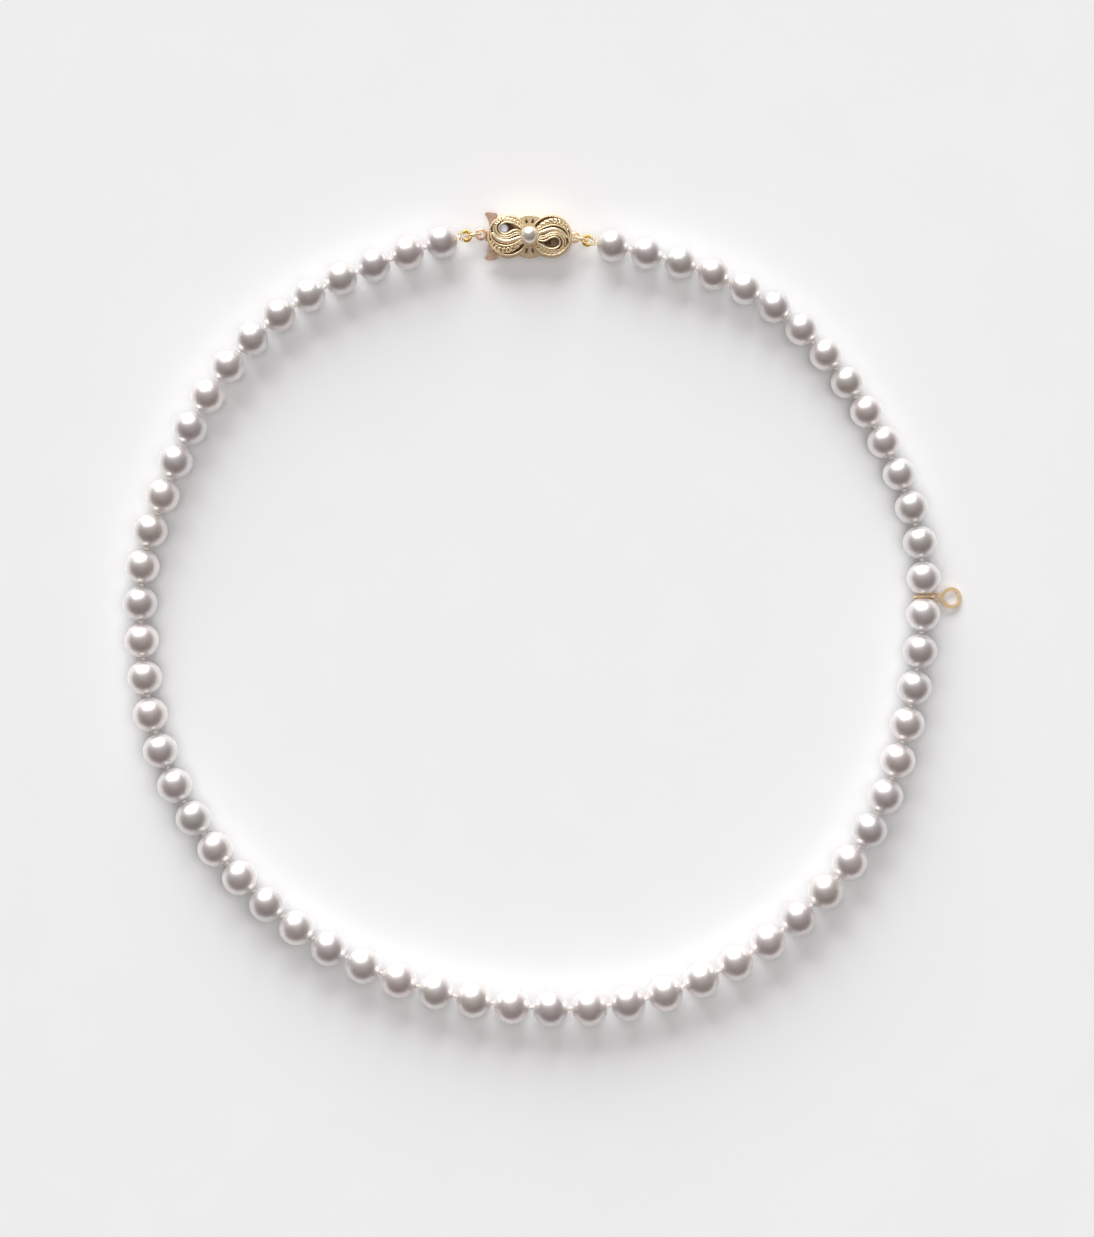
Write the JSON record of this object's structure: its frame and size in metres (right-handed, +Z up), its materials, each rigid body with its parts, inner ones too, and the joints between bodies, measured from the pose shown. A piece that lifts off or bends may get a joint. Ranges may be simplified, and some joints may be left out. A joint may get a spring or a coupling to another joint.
{
  "type": "pearl necklace",
  "caption": "Closed loop of round white pearls knotted on silk, with a pierced gold bow clasp set with a small pearl and a gold teardrop charm.",
  "frame": {"origin": "middle of the necklace's outline, on the surface that it lies on", "axes": "+Z up from that surface, +Y from the front of the necklace towards its clasp, +X across it towards the charm"},
  "size_m": [0.1564, 0.1518, 0.0068],
  "materials": {
    "pearl": "lustrous nacre, white with a faint rose overtone",
    "silk": "twisted silk cord",
    "clasp_gold": "polished pale yellow gold",
    "gimp_gold": "bright coiled gold wire",
    "tongue_gold": "polished rose gold"
  },
  "bodies": {
    "clasp_box": {"clasp_back_plate": "clasp_gold", "clasp_wall": "clasp_gold", "clasp_keeper": "clasp_gold", "clasp_top_plate": "clasp_gold", "clasp_left_lobe": "clasp_gold", "clasp_right_lobe": "clasp_gold", "clasp_pearl_setting": "clasp_gold", "clasp_pearl": "pearl", "clasp_box_ring": "clasp_gold"},
    "right_link": {"right_jump_ring": "clasp_gold"},
    "strand_01": {"pearls_01": "pearl", "silk_01": "silk", "right_gimp": "gimp_gold"},
    "strand_02": {"pearls_02": "pearl", "silk_02": "silk"},
    "strand_03": {"pearls_03": "pearl", "silk_03": "silk"},
    "strand_04": {"pearls_04": "pearl", "silk_04": "silk"},
    "strand_05": {"pearls_05": "pearl", "silk_05": "silk"},
    "strand_06": {"pearls_06": "pearl", "silk_06": "silk"},
    "strand_07": {"pearls_07": "pearl", "silk_07": "silk"},
    "strand_08": {"pearls_08": "pearl", "silk_08": "silk"},
    "strand_09": {"pearls_09": "pearl", "silk_09": "silk"},
    "strand_10": {"pearls_10": "pearl", "silk_10": "silk"},
    "strand_11": {"pearls_11": "pearl", "silk_11": "silk"},
    "strand_12": {"pearls_12": "pearl", "silk_12": "silk"},
    "strand_13": {"pearls_13": "pearl", "silk_13": "silk"},
    "strand_14": {"pearls_14": "pearl", "silk_14": "silk"},
    "strand_15": {"pearls_15": "pearl", "silk_15": "silk"},
    "strand_16": {"pearls_16": "pearl", "silk_16": "silk", "left_gimp": "gimp_gold"},
    "left_link": {"left_jump_ring": "clasp_gold"},
    "tongue": {"tongue_leaf": "tongue_gold", "tongue_ring": "tongue_gold"},
    "spring_leaf_body": {"spring_leaf": "tongue_gold"},
    "bail": {"charm_bail": "clasp_gold"},
    "charm": {"charm_ring": "clasp_gold", "charm_drop": "clasp_gold"}
  },
  "joints": [
    {"name": "strand_open", "type": "hinge", "parent": "clasp_box", "child": "strand_01", "pos_m": [0.00834, 0.0706, 0.0026], "axis": [0, 0, 1], "range_deg": [0, 3.7]},
    {"name": "open_02", "type": "hinge", "parent": "strand_01", "child": "strand_02", "pos_m": [0.03475, 0.06308, 0.00301], "axis": [0, 0, 1], "range_deg": [0, 3.7]},
    {"name": "open_03", "type": "hinge", "parent": "strand_02", "child": "strand_03", "pos_m": [0.05474, 0.04679, 0.00301], "axis": [0, 0, 1], "range_deg": [0, 3.7]},
    {"name": "strand_lift", "type": "hinge", "parent": "strand_03", "child": "strand_04", "pos_m": [0.06764, 0.02405, 0.00307], "axis": [-0.9999, 0.0156, 0.0007], "range_deg": [0, 25]},
    {"name": "lift_05", "type": "hinge", "parent": "strand_04", "child": "strand_05", "pos_m": [0.07067, -0.0025, 0.00317], "axis": [-0.9999, 0.0138, 0.0003], "range_deg": [0, 25]},
    {"name": "lift_06", "type": "hinge", "parent": "strand_05", "child": "strand_06", "pos_m": [0.06514, -0.02967, 0.00327], "axis": [-0.9999, 0.0141, -0.0001], "range_deg": [0, 25]},
    {"name": "open_07", "type": "hinge", "parent": "strand_06", "child": "strand_07", "pos_m": [0.05023, -0.05338, 0.00331], "axis": [0, 0, 1], "range_deg": [0, 3.7]},
    {"name": "open_08", "type": "hinge", "parent": "strand_07", "child": "strand_08", "pos_m": [0.02625, -0.06863, 0.00335], "axis": [0, 0, 1], "range_deg": [0, 3.7]},
    {"name": "open_09", "type": "hinge", "parent": "strand_08", "child": "strand_09", "pos_m": [-0.00221, -0.07246, 0.00338], "axis": [0, 0, 1], "range_deg": [0, 5.29]},
    {"name": "open_10", "type": "hinge", "parent": "strand_09", "child": "strand_10", "pos_m": [-0.03027, -0.06608, 0.00334], "axis": [0, 0, 1], "range_deg": [0, 6.88]},
    {"name": "open_11", "type": "hinge", "parent": "strand_10", "child": "strand_11", "pos_m": [-0.05411, -0.05075, 0.0033], "axis": [0, 0, 1], "range_deg": [0, 6.88]},
    {"name": "lift_12", "type": "hinge", "parent": "strand_11", "child": "strand_12", "pos_m": [-0.07014, -0.02777, 0.00326], "axis": [-0.9999, 0.0141, -0.0001], "range_deg": [-25, 0]},
    {"name": "lift_13", "type": "hinge", "parent": "strand_12", "child": "strand_13", "pos_m": [-0.07498, -0.00049, 0.00321], "axis": [-0.9999, 0.0138, 0.0003], "range_deg": [-25, 0]},
    {"name": "lift_14", "type": "hinge", "parent": "strand_13", "child": "strand_14", "pos_m": [-0.06966, 0.02619, 0.00317], "axis": [-0.9999, 0.0156, 0.0007], "range_deg": [-25, 0]},
    {"name": "open_15", "type": "hinge", "parent": "strand_14", "child": "strand_15", "pos_m": [-0.05658, 0.04984, 0.00313], "axis": [0, 0, 1], "range_deg": [0, 10.58]},
    {"name": "open_16", "type": "hinge", "parent": "strand_15", "child": "strand_16", "pos_m": [-0.03461, 0.06482, 0.00309], "axis": [0, 0, 1], "range_deg": [0, 10.58]},
    {"name": "left_link_turn", "type": "hinge", "parent": "strand_16", "child": "left_link", "pos_m": [-0.01432, 0.07144, 0.0026], "axis": [0, 0, 1], "range_deg": [-29.36, 0]},
    {"name": "tongue_turn", "type": "hinge", "parent": "left_link", "child": "tongue", "pos_m": [-0.01172, 0.0718, 0.0015], "axis": [0, 0, 1], "range_deg": [-29.36, 0]},
    {"name": "spring_press", "type": "hinge", "parent": "tongue", "child": "spring_leaf_body", "pos_m": [-0.00055, 0.07142, 0.00208], "axis": [0, -1, 0], "range_deg": [0, 2.6], "stiffness_Nm_per_rad": 0.004},
    {"name": "right_link_spin", "type": "hinge", "parent": "clasp_box", "child": "right_link", "pos_m": [0.00718, 0.07089, 0.0021], "axis": [-0.2473, -0.9689, 0], "continuous": true},
    {"name": "bail_swing", "type": "hinge", "parent": "strand_04", "child": "bail", "pos_m": [0.07105, 0.0043, 0.00315], "axis": [-0.0062, -1, 0], "range_deg": [0, 200]},
    {"name": "charm_swing", "type": "hinge", "parent": "bail", "child": "charm", "pos_m": [0.07274, 0.004, 0.00135], "axis": [0, 0, 1], "range_deg": [-25, 30]}
  ],
  "couplings": [
    {"joint": "open_02", "follows": "strand_open", "ratio": 1},
    {"joint": "open_03", "follows": "strand_open", "ratio": 1},
    {"joint": "lift_05", "follows": "strand_lift", "ratio": 1},
    {"joint": "lift_06", "follows": "strand_lift", "ratio": 1},
    {"joint": "open_07", "follows": "strand_open", "ratio": 1},
    {"joint": "open_08", "follows": "strand_open", "ratio": 1},
    {"joint": "open_09", "follows": "strand_open", "ratio": 1.43},
    {"joint": "open_10", "follows": "strand_open", "ratio": 1.86},
    {"joint": "open_11", "follows": "strand_open", "ratio": 1.86},
    {"joint": "lift_12", "follows": "strand_lift", "ratio": -1},
    {"joint": "lift_13", "follows": "strand_lift", "ratio": -1},
    {"joint": "lift_14", "follows": "strand_lift", "ratio": -1},
    {"joint": "open_15", "follows": "strand_open", "ratio": 2.86},
    {"joint": "open_16", "follows": "strand_open", "ratio": 2.86},
    {"joint": "left_link_turn", "follows": "strand_open", "ratio": -7.935},
    {"joint": "tongue_turn", "follows": "strand_open", "ratio": -7.935}
  ]
}
